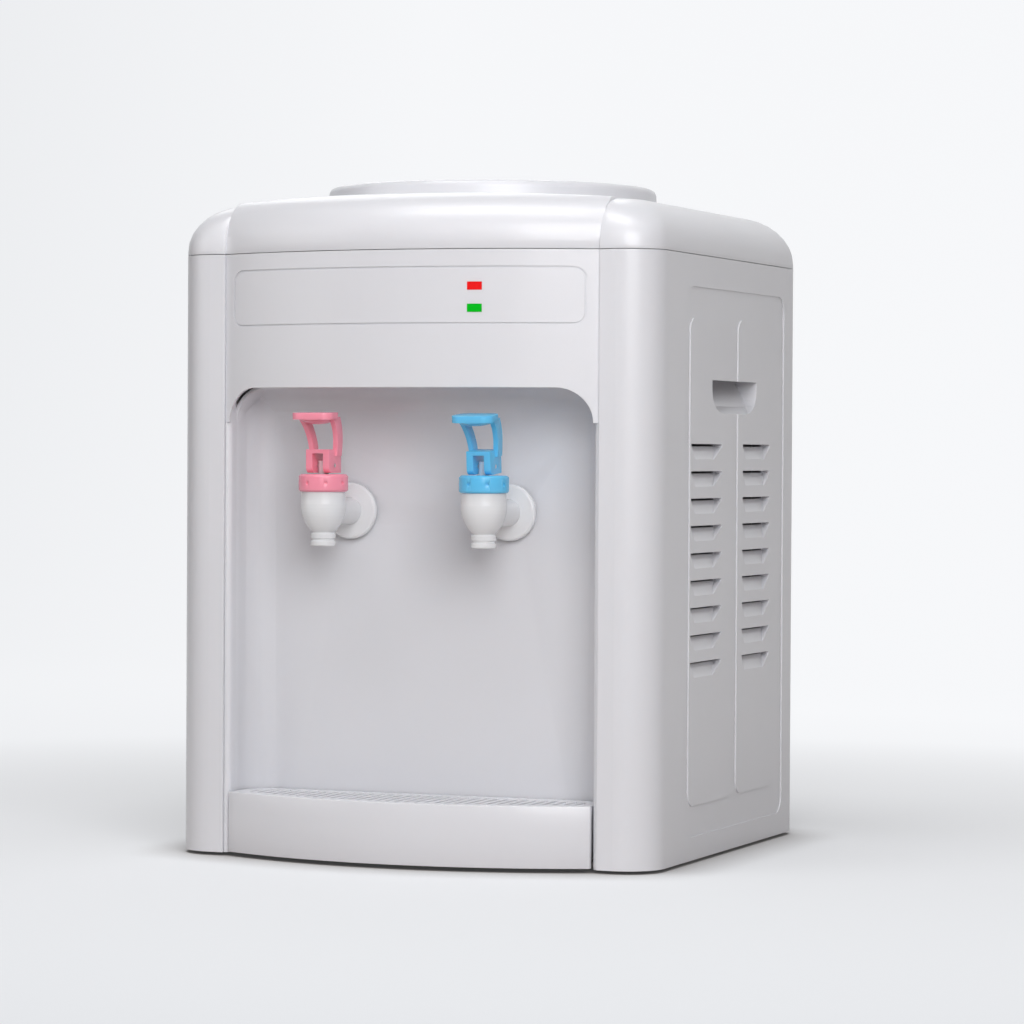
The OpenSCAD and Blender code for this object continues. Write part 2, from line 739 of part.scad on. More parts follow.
// White body: egg-shaped valve chamber, spout, horizontal arm, flange and tail
module tap_body() {
    arm = tap_out + bay_depth;
    rim_r = 16.5;
    rim_round = 1.8;
    face = arm - 5;
    difference() {
        union() {
            rotate_extrude($fn = 72) polygon(concat(
                [[0, 183], [6.9, 183], [7.3, 183.5], [7.3, 185.6], [6.5, 186.2], [6.5, 187], [7.2, 187.5],
                 [7.2, 189.8], [6.6, 190.5]],
                arc([-8.3, 206.5], 21.5, -47, 8, 9),
                [[12.8, nut_low - 0.5], [12.5, nut_low - 0.5], [12.5, nut_top - 2.6], [0, nut_top - 2.6]]));
            translate([0, 0, tap_z]) rotate([-90, 0, 0]) {
                rotate_extrude($fn = 64) polygon(concat([[0, arm - 2], [0, face - 0.5], [8.5, face - 0.5]],
                    arc([rim_r - rim_round, face + rim_round], rim_round, -100, 0, 5), [[rim_r, arm - 2]]));
                cylinder(r = 8, h = arm + 16, $fn = 48);
                cylinder(r = 4, h = arm + 29, $fn = 32);
            }
        }
        // Valve chamber, outlet and inlet
        translate([0, 0, 197]) cylinder(r = 9, h = 40, $fn = 48);
        translate([0, 0, 180]) cylinder(r = 4.6, h = 20, $fn = 48);
        translate([0, 5, tap_z]) rotate([-90, 0, 0]) cylinder(r = 2.6, h = arm + 40, $fn = 32);
    }
}

// Coloured cap nut with small dimples round it
module tap_nut() difference() {
    rotate_extrude($fn = 72) polygon([[3.2, nut_top - 2.6], [12.5, nut_top - 2.6], [12.5, nut_low + 0.2],
        [nut_r - 1, nut_low], [nut_r, nut_low + 1], [nut_r, nut_top - 1.2], [nut_r - 1.2, nut_top],
        [3.2, nut_top]]);
    for (a = [29:45:344]) rotate(a) translate([nut_r - 0.8, 0, (nut_low + nut_top) / 2])
        rotate([0, 90, 0]) cylinder(r = 1.1, h = 3, $fn = 16);
}

// Stirrup-shaped lever: two ears beside the stem, two bent arms and a thumb plate
module lever_shape() {
    ear_hw = 7.3;
    slot_hw = 3.4;
    ear_d = 8.5;
    ear_top = 238.7;
    cam_r = 3.5;
    arm_r = 26;
    arm_d = 7;
    arm_y = 3;
    difference() {
        // Ears with the rounded toe that rocks on the nut
        along_x(-ear_hw, 2 * ear_hw) {
            translate([cam_r - ear_d, lever_low]) square([2 * ear_d - cam_r, ear_top - lever_low]);
            translate([-ear_d, lever_low + cam_r]) square([2 * ear_d, ear_top - lever_low - cam_r]);
            translate([cam_r - ear_d, lever_low + cam_r]) circle(cam_r, $fn = 32);
        }
        translate([-slot_hw, -20, lever_low - 1]) cube([2 * slot_hw, 40, 236.4 - lever_low + 1]);
        translate([-20, 0, pin_z]) rotate([0, 90, 0]) cylinder(r = 1.2, h = 40, $fn = 32);
    }
    // Arms: bent forward from the side, splayed from the front
    intersection() {
        along_x(-14, 28) difference() {
            translate([arm_y - arm_r, 237]) circle(arm_r + arm_d / 2, $fn = 96);
            translate([arm_y - arm_r, 237]) circle(arm_r - arm_d / 2, $fn = 96);
            translate([-90, 205]) square([180, 30]);
            translate([-90, 257.5]) square([180, 30]);
        }
        along_y(-20, 40) for (s = [-1, 1])
            polygon([for (p = [[6.2, 235], [8.6, 235], [9.3, 242], [11.2, 258], [8.4, 258], [6.2, 240]])
                [s * p[0], p[1]]]);
    }
    // Thumb plate with a dished underside
    translate([0, -11.7, 256]) rotate([2, 0, 0]) {
        linear_extrude(3.8) round_rect(-12.4, -9, 12.4, 9, 6);
        intersection() {
            translate([0, 4, 22]) sphere(r = 25, $fn = 96);
            translate([-9, -6, -4]) cube([18, 15, 5]);
        }
    }
}

// Tilts a lever part about its pin
module tilted(angle) { translate([0, 0, pin_z]) rotate([angle, 0, 0]) translate([0, 0, -pin_z]) children(); }

module lever_pin() translate([-7.2, 0, pin_z]) rotate([0, 90, 0]) cylinder(r = 1.2, h = 14.4, $fn = 32);

module stem() difference() {
    union() {
        translate([0, 0, 199.2]) cylinder(r = 2.9, h = 232.2 - 199.2, $fn = 40);
        translate([0, 0, 201.4]) cylinder(r = 7, h = 1.6, $fn = 40);
    }
    translate([-10, 0, pin_z]) rotate([0, 90, 0]) cylinder(r = 1.25, h = 20, $fn = 32);
}

// Rubber plug under the stem that shuts the outlet
module seal() rotate_extrude($fn = 48) polygon([[0, 196.4], [3, 196.4], [5.5, 197.6], [7, 197.8], [7, 201.4],
    [2.9, 201.4], [2.9, 199.2], [0, 199.2]]);

// Return spring between the stem's collar and the nut
module spring() {
    turns = 4.5;
    steps = 12;
    low = 203.8;
    high = nut_top - 3.5;
    tube([for (i = [0:turns * steps]) let (a = 360 * i / steps)
        [5 * cos(a), 5 * sin(a), low + (high - low) * i / (turns * steps)]], 0.6, 0, [0, 0, 1], 6);
}

module gasket() translate([0, tap_out + bay_depth - 2, tap_z]) rotate([-90, 0, 0]) difference() {
    cylinder(r = 13, h = 2, $fn = 48);
    translate([0, 0, -1]) cylinder(r = 8, h = 4, $fn = 48);
}

module backnut() translate([0, tap_out + bay_depth + 2, tap_z]) rotate([-90, 0, 0]) difference() {
    cylinder(r = 13, h = 7, $fn = 6);
    translate([0, 0, -1]) cylinder(r = 8, h = 9, $fn = 48);
}

module hot_tap_body() color(white) at_tap(-1) tap_body();
module hot_tap_nut() color(pink) at_tap(-1) tap_nut();
module hot_lever() color(pink) at_tap(-1) lever_shape();
module hot_lever_pin() color("silver") at_tap(-1) lever_pin();
module hot_stem() color("white") at_tap(-1) stem();
module hot_seal() color("gainsboro") at_tap(-1) seal();
module hot_spring() color("silver") at_tap(-1) spring();
module hot_gasket() color("dimgray") at_tap(-1) gasket();
module hot_backnut() color("white") at_tap(-1) backnut();
module cold_tap_body() color(white) at_tap(1) tap_body();
module cold_tap_nut() color(blue) at_tap(1) tap_nut();
module cold_lever() color(blue) at_tap(1) tilted(cold_tilt) lever_shape();
module cold_lever_pin() color("silver") at_tap(1) lever_pin();
module cold_stem() color("white") at_tap(1) stem();
module cold_seal() color("gainsboro") at_tap(1) seal();
module cold_spring() color("silver") at_tap(1) spring();
module cold_gasket() color("dimgray") at_tap(1) gasket();
module cold_backnut() color("white") at_tap(1) backnut();

// ---------- Water heating and tubes ----------

tank_low = 100;
tank_top = 228;
tank_r = 48;

// Half section of the tank, drawn in by inset
module tank_profile(inset) polygon(concat(
    [[0, tank_low - 6 + inset], [32, tank_low - 6 + inset]],
    arc([tank_r - 8, tank_low + 2], 8 - inset, -60, 0, 4),
    arc([tank_r - 8, tank_top - 2], 8 - inset, 0, 60, 4),
    [[32, tank_top + 6 - inset], [0, tank_top + 6 - inset]]));

// Stainless tank with round ends; nipples at the top, side and bottom
module hot_tank() color("lightsteelblue") translate([tank_x, tank_y, 0]) difference() {
    union() {
        rotate_extrude($fn = 96) tank_profile(0);
        for (y = [-15, 15]) translate([0, y, tank_top]) cylinder(r = 4, h = 18, $fn = 32);
        translate([0, 0, tank_low + 12]) rotate([0, 90, 0]) cylinder(r = 4, h = tank_r + 22, $fn = 32);
        translate([-15, 0, tank_low - 20]) cylinder(r = 4, h = 18, $fn = 32);
    }
    rotate_extrude($fn = 96) tank_profile(1);
    for (y = [-15, 15]) translate([0, y, tank_top]) cylinder(r = 2.8, h = 30, $fn = 32);
    translate([0, 0, tank_low + 12]) rotate([0, 90, 0]) cylinder(r = 2.8, h = tank_r + 30, $fn = 32);
    translate([-15, 0, tank_low - 30]) cylinder(r = 2.8, h = 32, $fn = 32);
    translate([12, 0, tank_low - 20]) cylinder(r = 9, h = 20, $fn = 48);
}

module tank_jacket() color("gainsboro") translate([tank_x, tank_y, tank_low + 2]) difference() {
    cylinder(r = 60, h = tank_top - tank_low - 4, $fn = 96);
    translate([0, 0, -1]) cylinder(r = tank_r, h = 200, $fn = 96);
    translate([0, 0, 10]) rotate([0, 90, 0]) cylinder(r = 4.5, h = 80, $fn = 32);
}

// Immersion heater: flange in the tank's floor and a U-shaped sheath
module heater() color("silver") translate([tank_x + 12, tank_y, tank_low - 6]) {
    difference() {
        translate([0, 0, -3]) cylinder(r = 12, h = 3, $fn = 48);
        translate([0, 0, -4]) cylinder(r = 1, h = 1.5, $fn = 24);
    }
    cylinder(r = 9, h = 3, $fn = 48);
    for (y = [-5, 5]) translate([0, y, 2]) cylinder(r = 2.5, h = 70, $fn = 24);
    translate([0, 0, 72]) rotate([90, 0, 90]) rotate_extrude(angle = 180, $fn = 48)
        translate([5, 0]) circle(2.5, $fn = 24);
    for (y = [-5, 5]) translate([-2.4, y - 0.4, -12]) cube([4.8, 0.8, 9.5]);
}

// Control and cut-out thermostats on the tank's lid
module thermostats() color("black") for (s = [-1, 1]) translate([tank_x + s * 22, tank_y, tank_top + 6]) {
    cylinder(r = 8, h = 7, $fn = 32);
    for (x = [-4, 4]) translate([x - 0.4, -3, 6]) cube([0.8, 6, 9]);
}

// Ring on three legs that carries the tank
module tank_stand() color("silver") translate([tank_x, tank_y, 0]) {
    difference() {
        translate([0, 0, tank_low - 8]) cylinder(r = 46, h = 2, $fn = 72);
        translate([0, 0, tank_low - 9]) cylinder(r = 28, h = 4, $fn = 72);
    }
    for (a = [90, 210, 330]) rotate(a) translate([42, 0, base_z]) {
        cylinder(r = 3, h = tank_low - 7 - base_z, $fn = 24);
        cylinder(r = 7, h = 2, $fn = 24);
    }
}

tail_y = wall_y + 20;
// Routes of the tubes, straight over the nipple at each end
cold_path = [[50, tail_y, tap_z], [50, tail_y + 12, tap_z], [50, tail_y + 22, tap_z],
    [50, seat_y - 26, 216], [50, seat_y - 25, 240], [50, seat_y - 25, 262], [50, seat_y - 25, 275]];
hot_path = [[-50, tail_y, tap_z], [-50, tail_y + 12, tap_z], [-50, tail_y + 20, tap_z + 2],
    [-49, tail_y + 26, tap_z + 14], [-47, tail_y + 27, 236], [-42, tail_y + 40, 258],
    [-33, tank_y - 26, 270], [tank_x, tank_y - 15, 262], [tank_x, tank_y - 15, 250],
    [tank_x, tank_y - 15, tank_top + 10]];
feed_path = [[tank_x + 61, tank_y, tank_low + 12], [tank_x + 72, tank_y, tank_low + 12],
    [tank_x + 82, tank_y, tank_low + 12], [tank_x + 94, tank_y - 1, tank_low + 26], [66, tank_y - 3, 160],
    [58, seat_y + 25, 230], [50, seat_y + 25, 256], [50, seat_y + 25, 266], [50, seat_y + 25, 275]];
drain_path = [[tank_x - 15, tank_y, tank_low - 12], [tank_x - 15, tank_y, tank_low - 23],
    [tank_x - 15, tank_y, tank_low - 34], [tank_x - 20, tank_y + 14, 46], [-62, tank_y + 50, 36],
    [drain_at[0], rear_y - 36, drain_at[1]], [drain_at[0], rear_y - 24, drain_at[1]],
    [drain_at[0], rear_y - 12, drain_at[1]]];

module hose(path, ref) color("white") tube(smooth_path(path, 3), 6, 4.4, ref);
module cold_tube() hose(cold_path, [1, 0, 0]);
module hot_tube() hose(hot_path, [1, 0.2, 0]);
module feed_tube() hose(feed_path, [0, 1, 0.1]);
module vent_tube() color("white") translate([tank_x, tank_y + 15, tank_top + 10]) difference() {
    cylinder(r = 6, h = 37, $fn = 32);
    translate([0, 0, -1]) cylinder(r = 4.05, h = 40, $fn = 32);
}
module drain_tube() hose(drain_path, [1, 0.3, 0]);

// How far the drain outlet stands out of the rear panel
spout_end = 6.4;

// Drain outlet through the rear panel
module drain_spout() color("white") translate([drain_at[0], rear_y, drain_at[1]]) rotate([-90, 0, 0])
    difference() {
        union() {
            translate([0, 0, -22]) cylinder(r = 4, h = 20, $fn = 32);
            translate([0, 0, -wall - 3]) cylinder(r = 11, h = 3, $fn = 48);
            translate([0, 0, -wall - 1]) cylinder(r = 7, h = wall + 1 + spout_end, $fn = 48);
        }
        translate([0, 0, -30]) cylinder(r = 2.8, h = 60, $fn = 32);
    }

// Rubber washer inside the cap
module drain_washer() color("dimgray") translate([drain_at[0], rear_y, drain_at[1]]) rotate([-90, 0, 0])
    translate([0, 0, spout_end + 0.1]) cylinder(r = 6.9, h = 1.5, $fn = 40);

// Screw cap on the drain outlet, with grip flats
module drain_cap() color("white") translate([drain_at[0], rear_y, drain_at[1]]) rotate([-90, 0, 0])
    difference() {
        translate([0, 0, 0.4]) cylinder(r = 10, h = 11.6, $fn = 48);
        translate([0, 0, -1]) cylinder(r = 7.05, h = 9.1, $fn = 48);
        for (a = [0:30:330]) rotate(a) translate([10.6, 0, 3]) cylinder(r = 1.2, h = 20, $fn = 16);
    }

// ---------- Electrics ----------

module switch_housing() color("black") translate([switch_at[0], rear_y, switch_at[1]]) difference() {
    union() {
        translate([-8, 0, -11]) cube([16, 1.5, 22]);
        translate([-6.5, -16, -9.5]) cube([13, 16.5, 19]);
        for (z = [-6, 5]) translate([-2.4, -24, z]) cube([4.8, 9, 0.8]);
    }
    translate([-5.5, -6, -8.5]) cube([11, 10, 17]);
    translate([-8, -2, 0]) rotate([0, 90, 0]) cylinder(r = 1.05, h = 16, $fn = 24);
}

// Rocker of the heating switch, standing in its off position
module rocker() color("firebrick") translate([switch_at[0], rear_y - 2, switch_at[1]]) rotate([8, 0, 0]) {
    along_x(-5.1, 10.2) polygon([[-2.6, -2.5], [2.6, -8], [4.6, -7.6], [3.2, 0], [4.6, 7.6], [2.6, 8],
        [-2.6, 2.5]]);
    translate([-6.4, 0, 0]) rotate([0, 90, 0]) cylinder(r = 1, h = 12.8, $fn = 24);
}

// Bush that the power cord goes through
module cord_gland() color("black") translate([gland_at[0], rear_y, gland_at[1]]) rotate([-90, 0, 0])
    difference() {
        union() {
            translate([0, 0, -wall - 1.6]) cylinder(r1 = 6.6, r2 = 7, h = 1.6, $fn = 40);
            translate([0, 0, -wall - 1]) cylinder(r = 6, h = wall + 2, $fn = 40);
            cylinder(r1 = 8, r2 = 7, h = 2.5, $fn = 40);
        }
        translate([0, 0, -20]) cylinder(r = 3.5, h = 40, $fn = 40);
    }

wire_paths = [
    [[switch_at[0], rear_y - 25.5, 57], [90, rear_y - 34, 70], [70, rear_y - 40, 110], [50, 60, 200],
        [10, tank_y + 4, 252], [tank_x + 26, tank_y, tank_top + 22.5]],
    [[tank_x + 18, tank_y, tank_top + 22.5], [tank_x + 8, tank_y - 2, 257], [tank_x - 8, tank_y - 2, 257],
        [tank_x - 18, tank_y, tank_top + 22.5]],
    [[switch_at[0], rear_y - 25.5, 68], [96, rear_y - 44, 90], [100, 40, 200], [96, -30, 300],
        [70, -80, 325], [lens_x + 4, lens_y + 12, 322]],
    [[tank_x + 12, tank_y - 5, tank_low - 20], [tank_x + 20, tank_y - 8, 60], [40, 40, 20],
        [80, rear_y - 30, 20], [gland_at[0], rear_y - 14, gland_at[1] - 1]]
];
module wiring() color("orangered") for (w = wire_paths) tube(smooth_path(w, 3), 1.2, 0, [0.3, 1, 0.2], 6);

top_cover();
bottle_collar();
bottle_seat();
probe();
reservoir();
reservoir_gasket();
left_side_panel();
right_side_panel();
left_grip_cup();
right_grip_cup();
front_fascia();
bay_liner();
base();
rear_panel();
drip_tray();
drip_grid();
feet();
red_lens();
green_lens();
led_board();
hot_tap_body();
hot_tap_nut();
hot_lever();
hot_lever_pin();
hot_stem();
hot_seal();
hot_spring();
hot_gasket();
hot_backnut();
cold_tap_body();
cold_tap_nut();
cold_lever();
cold_lever_pin();
cold_stem();
cold_seal();
cold_spring();
cold_gasket();
cold_backnut();
hot_tank();
tank_jacket();
heater();
thermostats();
tank_stand();
cold_tube();
hot_tube();
feed_tube();
vent_tube();
drain_tube();
drain_spout();
drain_washer();
drain_cap();
switch_housing();
rocker();
cord_gland();
wiring();
rear_screws();
base_screws();
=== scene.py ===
"""Looks of the countertop water dispenser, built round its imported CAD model.

Metres, +Z up, the front towards -Y. The pieces keep the CAD nodes' places and sizes.
"""

import json
import math

import bmesh
import bpy
from mathutils import Matrix, Vector

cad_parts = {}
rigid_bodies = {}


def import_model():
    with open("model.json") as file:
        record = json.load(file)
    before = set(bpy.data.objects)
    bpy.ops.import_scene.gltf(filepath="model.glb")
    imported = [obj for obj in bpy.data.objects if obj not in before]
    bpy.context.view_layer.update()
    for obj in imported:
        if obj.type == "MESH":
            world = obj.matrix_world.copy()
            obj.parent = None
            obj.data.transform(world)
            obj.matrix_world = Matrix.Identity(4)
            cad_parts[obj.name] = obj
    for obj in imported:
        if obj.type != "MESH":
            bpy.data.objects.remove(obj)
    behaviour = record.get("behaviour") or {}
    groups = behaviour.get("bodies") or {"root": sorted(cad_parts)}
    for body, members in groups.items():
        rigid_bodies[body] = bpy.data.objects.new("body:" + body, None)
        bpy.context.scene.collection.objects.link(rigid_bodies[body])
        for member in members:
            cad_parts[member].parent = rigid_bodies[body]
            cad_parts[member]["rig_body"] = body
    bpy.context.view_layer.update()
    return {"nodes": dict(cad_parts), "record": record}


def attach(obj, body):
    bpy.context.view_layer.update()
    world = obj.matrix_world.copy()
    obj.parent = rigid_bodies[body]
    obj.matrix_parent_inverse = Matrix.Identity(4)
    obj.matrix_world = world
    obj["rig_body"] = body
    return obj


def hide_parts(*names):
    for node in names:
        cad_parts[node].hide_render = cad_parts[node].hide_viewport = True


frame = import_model()
NODES = frame["nodes"]
MM = 0.001
# Middle of the object, at which every lamp points
TARGET = (0, 0, 0.2)
# Edges sharper than this are rounded, in degrees
SHARP_ANGLE = 28
# How far apart vertices are joined before the rounding, in metres
WELD = 0.00001
# How flat neighbouring faces are merged before the rounding, in degrees
FLAT_ANGLE = 0.08

# ---------- Node helpers ----------


class Tree:
    """A material's node tree, with short calls for the nodes used here."""

    def __init__(self, name):
        self.material = bpy.data.materials.new(name)
        self.material.use_nodes = True
        self.tree = self.material.node_tree
        self.tree.nodes.clear()
        self.out = self.add("ShaderNodeOutputMaterial")
        self.shader = self.add("ShaderNodeBsdfPrincipled")
        self.link(self.shader.outputs[0], self.out.inputs["Surface"])

    def add(self, kind, **settings):
        node = self.tree.nodes.new(kind)
        for key, value in settings.items():
            setattr(node, key, value)
        return node

    def link(self, source, target):
        self.tree.links.new(source, target)

    def position(self, scale=(1, 1, 1)):
        """Object coordinates in metres, stretched by scale."""
        coordinates = self.add("ShaderNodeTexCoord")
        mapping = self.add("ShaderNodeMapping")
        mapping.inputs["Scale"].default_value = scale
        self.link(coordinates.outputs["Object"], mapping.inputs["Vector"])
        return mapping.outputs["Vector"]

    def noise(self, scale, detail=3.0, roughness=0.5, stretch=(1, 1, 1)):
        node = self.add("ShaderNodeTexNoise")
        node.inputs["Scale"].default_value = scale
        node.inputs["Detail"].default_value = detail
        node.inputs["Roughness"].default_value = roughness
        self.link(self.position(stretch), node.inputs["Vector"])
        return node.outputs["Fac"]

    def ramp(self, value, low, high, start, end):
        """Maps value from low..high to start..end."""
        node = self.add("ShaderNodeMapRange")
        node.inputs["From Min"].default_value = low
        node.inputs["From Max"].default_value = high
        node.inputs["To Min"].default_value = start
        node.inputs["To Max"].default_value = end
        self.link(value, node.inputs["Value"])
        return node.outputs["Result"]

    def blend(self, value, first, second):
        """Colour between first and second."""
        node = self.add("ShaderNodeMix", data_type="RGBA")
        self.link(value, node.inputs["Factor"])
        node.inputs["A"].default_value = (*first, 1)
        node.inputs["B"].default_value = (*second, 1)
        return node.outputs["Result"]

    def bump(self, height, depth, strength=1.0, below=None):
        node = self.add("ShaderNodeBump")
        node.inputs["Distance"].default_value = depth
        node.inputs["Strength"].default_value = strength
        self.link(height, node.inputs["Height"])
        if below:
            self.link(below, node.inputs["Normal"])
        return node.outputs["Normal"]

    def set(self, **values):
        for key, value in values.items():
            self.shader.inputs[key.replace("_", " ")].default_value = value
        return self


def tint(colour, factor):
    return tuple(c * factor for c in colour)


# ---------- Materials ----------


def moulded_plastic(name, colour, gloss, grain, flow=0.01, coat=0.0, depth=0.0):
    """Injection-moulded ABS: faint flow mottling, a fine surface grain and uneven gloss."""
    t = Tree(name)
    flow_lines = t.noise(6, 2, 0.4, (1, 1, 0.35))
    t.link(
        t.blend(t.ramp(flow_lines, 0.3, 0.7, 0, 1), tint(colour, 1 - flow), tint(colour, 1 + flow)),
        t.shader.inputs["Base Color"],
    )
    t.link(t.ramp(t.noise(24, 2, 0.4), 0.3, 0.7, gloss * 0.94, gloss * 1.06), t.shader.inputs["Roughness"])
    waves = t.bump(t.noise(30, 1, 0.3), 0.00004, 0.2)
    t.link(t.bump(t.noise(grain, 2, 0.5), 0.000006, 0.3, waves), t.shader.inputs["Normal"])
    t.set(IOR=1.5, Coat_Weight=coat, Coat_Roughness=0.12)
    if depth:
        t.set(Subsurface_Weight=0.25, Subsurface_Scale=depth, Subsurface_Radius=(1.0, 0.9, 0.85))
    return t.material


def rubber(name, colour):
    t = Tree(name)
    t.link(
        t.blend(t.noise(120, 4), tint(colour, 0.7), tint(colour, 1.5)), t.shader.inputs["Base Color"]
    )
    t.link(t.ramp(t.noise(60, 3), 0.3, 0.7, 0.65, 0.85), t.shader.inputs["Roughness"])
    t.link(t.bump(t.noise(1500, 3), 0.00004, 0.6), t.shader.inputs["Normal"])
    return t.material


def silicone(name, colour):
    t = Tree(name)
    t.link(t.blend(t.noise(40, 3), tint(colour, 0.94), colour), t.shader.inputs["Base Color"])
    t.link(t.ramp(t.noise(90, 3), 0.3, 0.7, 0.3, 0.45), t.shader.inputs["Roughness"])
    t.set(Subsurface_Weight=0.4, Subsurface_Scale=0.003, IOR=1.41)
    return t.material


def brushed_steel(name, colour, stretch):
    t = Tree(name)
    scratches = t.noise(260, 5, 0.65, stretch)
    t.link(t.blend(scratches, tint(colour, 0.8), colour), t.shader.inputs["Base Color"])
    t.link(t.ramp(scratches, 0.3, 0.7, 0.2, 0.42), t.shader.inputs["Roughness"])
    t.link(t.bump(scratches, 0.00001, 0.4), t.shader.inputs["Normal"])
    t.set(Metallic=1.0)
    return t.material


def coated_sheet(name, colour):
    """Powder-coated steel: orange peel and a fine speckle."""
    t = Tree(name)
    t.link(t.blend(t.noise(700, 2), tint(colour, 0.95), colour), t.shader.inputs["Base Color"])
    t.link(t.ramp(t.noise(60, 3), 0.3, 0.7, 0.42, 0.55), t.shader.inputs["Roughness"])
    t.link(t.bump(t.noise(900, 3, 0.6), 0.00003, 0.5), t.shader.inputs["Normal"])
    return t.material


def foam(name, colour):
    t = Tree(name)
    cells = t.add("ShaderNodeTexVoronoi")
    cells.inputs["Scale"].default_value = 420
    t.link(t.position(), cells.inputs["Vector"])
    t.link(
        t.blend(cells.outputs["Distance"], tint(colour, 0.85), colour), t.shader.inputs["Base Color"]
    )
    t.link(t.bump(cells.outputs["Distance"], 0.0004, 0.7), t.shader.inputs["Normal"])
    t.set(Roughness=0.9)
    return t.material


def lit_window(name, colour, glow):
    """Coloured glossy window that glows faintly and a little unevenly, as from a lamp behind."""
    t = Tree(name)
    t.link(t.blend(t.noise(300, 2), tint(colour, 0.85), colour), t.shader.inputs["Base Color"])
    t.link(
        t.blend(t.noise(260, 1), tint(colour, 0.8), colour), t.shader.inputs["Emission Color"]
    )
    t.link(t.ramp(t.noise(500, 2), 0.3, 0.7, 0.12, 0.2), t.shader.inputs["Roughness"])
    t.set(Emission_Strength=glow, IOR=1.5)
    return t.material


def circuit_board(name):
    t = Tree(name)
    weave = t.add("ShaderNodeTexBrick")
    weave.inputs["Scale"].default_value = 60
    weave.inputs["Color1"].default_value = (0.02, 0.16, 0.06, 1)
    weave.inputs["Color2"].default_value = (0.02, 0.2, 0.08, 1)
    weave.inputs["Mortar"].default_value = (0.25, 0.2, 0.08, 1)
    t.link(t.position(), weave.inputs["Vector"])
    t.link(weave.outputs["Color"], t.shader.inputs["Base Color"])
    t.set(Roughness=0.35)
    return t.material


WHITE = (0.735, 0.735, 0.765)
MATERIALS = {
    "white_shell": moulded_plastic("white_abs", WHITE, 0.3, 1400, coat=0.15, depth=0.002),
    "white_fitting": moulded_plastic("white_fitting", (0.78, 0.785, 0.8), 0.22, 1800, depth=0.002),
    "hot_pink": moulded_plastic("pink_abs", (0.95, 0.32, 0.42), 0.24, 1800, depth=0.0015),
    "cold_blue": moulded_plastic("blue_abs", (0.13, 0.55, 0.88), 0.24, 1800, depth=0.0015),
    "red_window": lit_window("red_window", (0.7, 0.01, 0.01), 0.35),
    "green_window": lit_window("green_window", (0.0, 0.4, 0.01), 0.35),
    "board": circuit_board("board"),
    "base_grey": moulded_plastic("base_pp", (0.5, 0.5, 0.52), 0.5, 900),
    "rear_white": coated_sheet("rear_sheet", (0.7, 0.7, 0.72)),
    "black_rubber": rubber("black_rubber", (0.02, 0.02, 0.021)),
    "silicone": silicone("silicone", (0.72, 0.72, 0.7)),
    "steel": brushed_steel("stainless", (0.62, 0.61, 0.6), (1, 1, 0.05)),
    "felt": foam("jacket_foam", (0.7, 0.7, 0.68)),
    "black_plastic": moulded_plastic("black_pa", (0.018, 0.018, 0.02), 0.4, 900, 0.1),
    "switch_red": moulded_plastic("red_abs", (0.6, 0.02, 0.015), 0.22, 1200),
    "wire": rubber("wire_red", (0.55, 0.12, 0.03)),
}
SLOT_OF = {s["node"]: s["material_slot"] for s in frame["record"]["subparts"]}


def dress(piece, slot_name):
    """Gives a piece its slot's material."""
    piece.data.materials.clear()
    piece.data.materials.append(MATERIALS[slot_name])


for node_name, node in NODES.items():
    node.data.materials.clear()
    node.data.materials.append(MATERIALS[SLOT_OF[node_name]])

# ---------- Pieces with softened edges ----------


def softened(node_name, width, segments=2):
    """Copy of a CAD node with its edges rounded over, as a mould leaves them."""
    source = NODES[node_name]
    mesh = source.data.copy()
    mesh.name = node_name + "_soft"
    b = bmesh.new()
    b.from_mesh(mesh)
    bmesh.ops.remove_doubles(b, verts=b.verts, dist=WELD)
    bmesh.ops.dissolve_limit(
        b,
        angle_limit=math.radians(FLAT_ANGLE),
        verts=b.verts,
        edges=b.edges,
        use_dissolve_boundaries=False,
    )
    b.to_mesh(mesh)
    b.free()
    piece = bpy.data.objects.new(node_name + "_soft", mesh)
    bpy.context.scene.collection.objects.link(piece)
    bevel = piece.modifiers.new("edges", "BEVEL")
    bevel.width = width
    bevel.segments = segments
    bevel.limit_method = "ANGLE"
    bevel.angle_limit = math.radians(SHARP_ANGLE)
    bevel.use_clamp_overlap = True
    bevel.miter_outer = "MITER_ARC"
    for polygon in mesh.polygons:
        polygon.use_smooth = True
    dress(piece, SLOT_OF[node_name])
    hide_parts(node_name)
    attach(piece, source["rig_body"])
    return piece


# ---------- Stage, light and camera ----------


